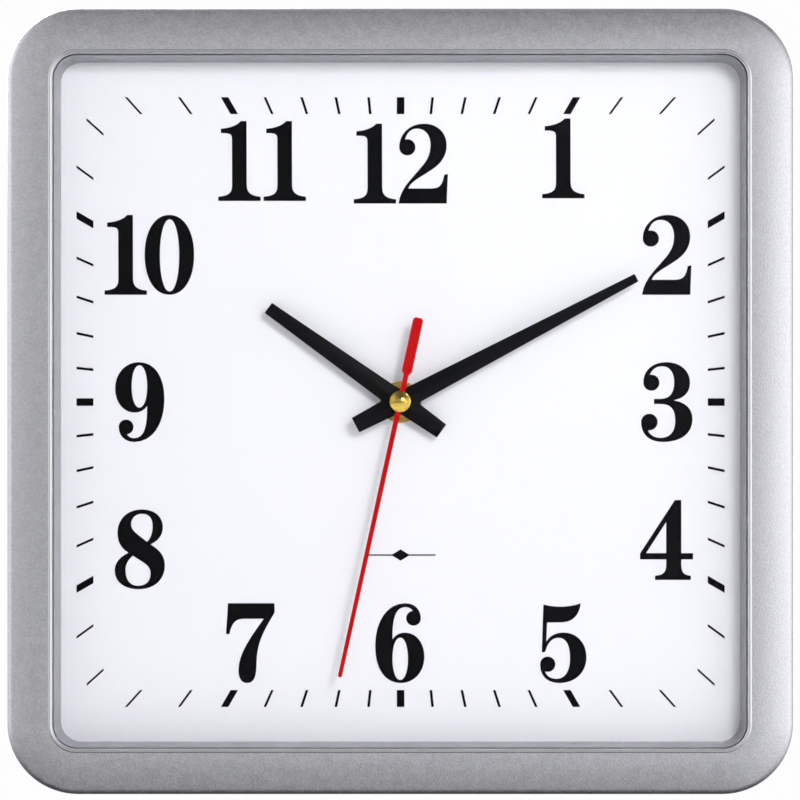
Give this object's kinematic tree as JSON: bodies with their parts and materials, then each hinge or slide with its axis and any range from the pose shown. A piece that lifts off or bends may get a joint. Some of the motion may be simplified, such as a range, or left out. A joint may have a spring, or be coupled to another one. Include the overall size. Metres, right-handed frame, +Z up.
{
  "type": "wall clock",
  "caption": "Square wall clock with a rounded silver frame, white dial with large black numerals, black hour and minute hands, red second hand and a battery quartz movement.",
  "frame": {"origin": "on the wall plane, behind the hands' axis", "axes": "+Z up, +Y into the wall, so the dial faces -Y and +X is to a reader's right"},
  "size_m": [0.3, 0.04, 0.3],
  "materials": {
    "silver_paint": "satin silver metallic paint on ABS",
    "window_glass": "clear flat glass",
    "spacer_plastic": "satin grey-silver moulded ABS",
    "dial_print_paper": "coated white dial card, slightly cool",
    "black_ink": "screen-printed black ink",
    "black_abs": "moulded black ABS with a fine spark texture",
    "zinc_steel": "zinc-plated steel",
    "black_rubber": "matt rubber",
    "bright_brass": "turned brass, lightly polished",
    "movement_plastic": "satin black moulded plastic",
    "bridge_plastic": "natural moulded acetal",
    "wheel_plastic": "natural white acetal",
    "black_painted_aluminium": "satin black lacquer on stamped aluminium",
    "red_painted_aluminium": "red lacquer on stamped aluminium",
    "polished_steel": "polished steel",
    "magnet": "sintered dark grey magnet",
    "knob_plastic": "moulded white plastic",
    "bobbin_plastic": "natural nylon",
    "copper_wire": "enamelled copper wire",
    "soft_iron": "soft iron sheet",
    "board_green": "green solder mask on glass epoxy",
    "epoxy_black": "black potting resin",
    "crystal_can": "plain metal can",
    "spring_brass": "nickel-plated spring brass",
    "cell_metal": "nickel-plated can",
    "cell_sleeve": "plain shrink sleeve"
  },
  "bodies": {
    "case": {"front_frame": "silver_paint", "window_glass": "window_glass", "spacer_frame": "spacer_plastic", "dial_sheet": "dial_print_paper", "dial_numerals": "black_ink", "dial_marks": "black_ink", "back_shell": "black_abs", "case_screws": "zinc_steel", "rubber_washer": "black_rubber", "threaded_bush": "bright_brass", "brass_washer": "bright_brass", "hex_nut": "bright_brass", "movement_base": "movement_plastic", "movement_cover": "movement_plastic", "middle_plate": "bridge_plastic", "coil_bobbin": "bobbin_plastic", "coil_winding": "copper_wire", "coil_core": "soft_iron", "stator_plate": "soft_iron", "circuit_board": "board_green", "chip_blob": "epoxy_black", "quartz_crystal": "crystal_can", "contact_positive": "spring_brass", "contact_negative": "spring_brass"},
    "second_group": {"second_hand": "red_painted_aluminium", "hand_cap": "bright_brass", "seconds_arbor": "polished_steel", "seconds_wheel": "wheel_plastic"},
    "minute_group": {"minute_hand": "black_painted_aluminium", "minute_pipe": "bright_brass", "cannon_pinion": "wheel_plastic"},
    "hour_group": {"hour_hand": "black_painted_aluminium", "hour_pipe": "bright_brass", "hour_wheel": "wheel_plastic"},
    "rotor": {"rotor_magnet": "magnet", "rotor_pinion": "wheel_plastic", "rotor_arbor": "polished_steel"},
    "step_gear": {"step_wheel": "wheel_plastic", "step_arbor": "polished_steel"},
    "third_gear": {"third_wheel": "wheel_plastic", "third_arbor": "polished_steel"},
    "center_gear": {"center_wheel": "wheel_plastic"},
    "motion_gear": {"minute_wheel": "wheel_plastic"},
    "setting_knob": {"set_knob": "knob_plastic", "set_pinion": "wheel_plastic"},
    "cell": {"cell_can": "cell_metal", "cell_sleeve": "cell_sleeve", "cell_nub": "cell_metal"}
  },
  "joints": [
    {"name": "second_hand_turn", "type": "hinge", "parent": "case", "child": "second_group", "pos_m": [0, -0.03, 0], "axis": [0, 1, 0], "continuous": true},
    {"name": "minute_hand_turn", "type": "hinge", "parent": "case", "child": "minute_group", "pos_m": [0, -0.03, 0], "axis": [0, 1, 0], "continuous": true},
    {"name": "hour_hand_turn", "type": "hinge", "parent": "case", "child": "hour_group", "pos_m": [0, -0.025, 0], "axis": [0, 1, 0], "continuous": true},
    {"name": "step_gear_turn", "type": "hinge", "parent": "case", "child": "step_gear", "pos_m": [0.0036, -0.012, 0.00624], "axis": [0, 1, 0], "continuous": true},
    {"name": "rotor_turn", "type": "hinge", "parent": "case", "child": "rotor", "pos_m": [0.00886, -0.01, 0.00815], "axis": [0, 1, 0], "continuous": true},
    {"name": "third_gear_turn", "type": "hinge", "parent": "case", "child": "third_gear", "pos_m": [-0.00779, -0.014, 0.0045], "axis": [0, 1, 0], "continuous": true},
    {"name": "center_gear_turn", "type": "hinge", "parent": "case", "child": "center_gear", "pos_m": [0, -0.016, 0], "axis": [0, 1, 0], "continuous": true},
    {"name": "motion_gear_turn", "type": "hinge", "parent": "case", "child": "motion_gear", "pos_m": [0.00705, -0.018, -0.00257], "axis": [0, 1, 0], "continuous": true},
    {"name": "setting_knob_turn", "type": "hinge", "parent": "case", "child": "setting_knob", "pos_m": [0.01455, -0.01, -0.00257], "axis": [0, 1, 0], "continuous": true},
    {"name": "cell_slide", "type": "slide", "parent": "case", "child": "cell", "axis": [0, 1, 0], "range_m": [0, 0.03]}
  ],
  "couplings": [
    {"joint": "step_gear_turn", "follows": "second_hand_turn", "ratio": -5},
    {"joint": "rotor_turn", "follows": "second_hand_turn", "ratio": 30},
    {"joint": "third_gear_turn", "follows": "second_hand_turn", "ratio": -0.13333},
    {"joint": "center_gear_turn", "follows": "second_hand_turn", "ratio": 0.016667},
    {"joint": "motion_gear_turn", "follows": "minute_hand_turn", "ratio": -0.33333},
    {"joint": "hour_hand_turn", "follows": "minute_hand_turn", "ratio": 0.083333},
    {"joint": "setting_knob_turn", "follows": "minute_hand_turn", "ratio": 1}
  ]
}
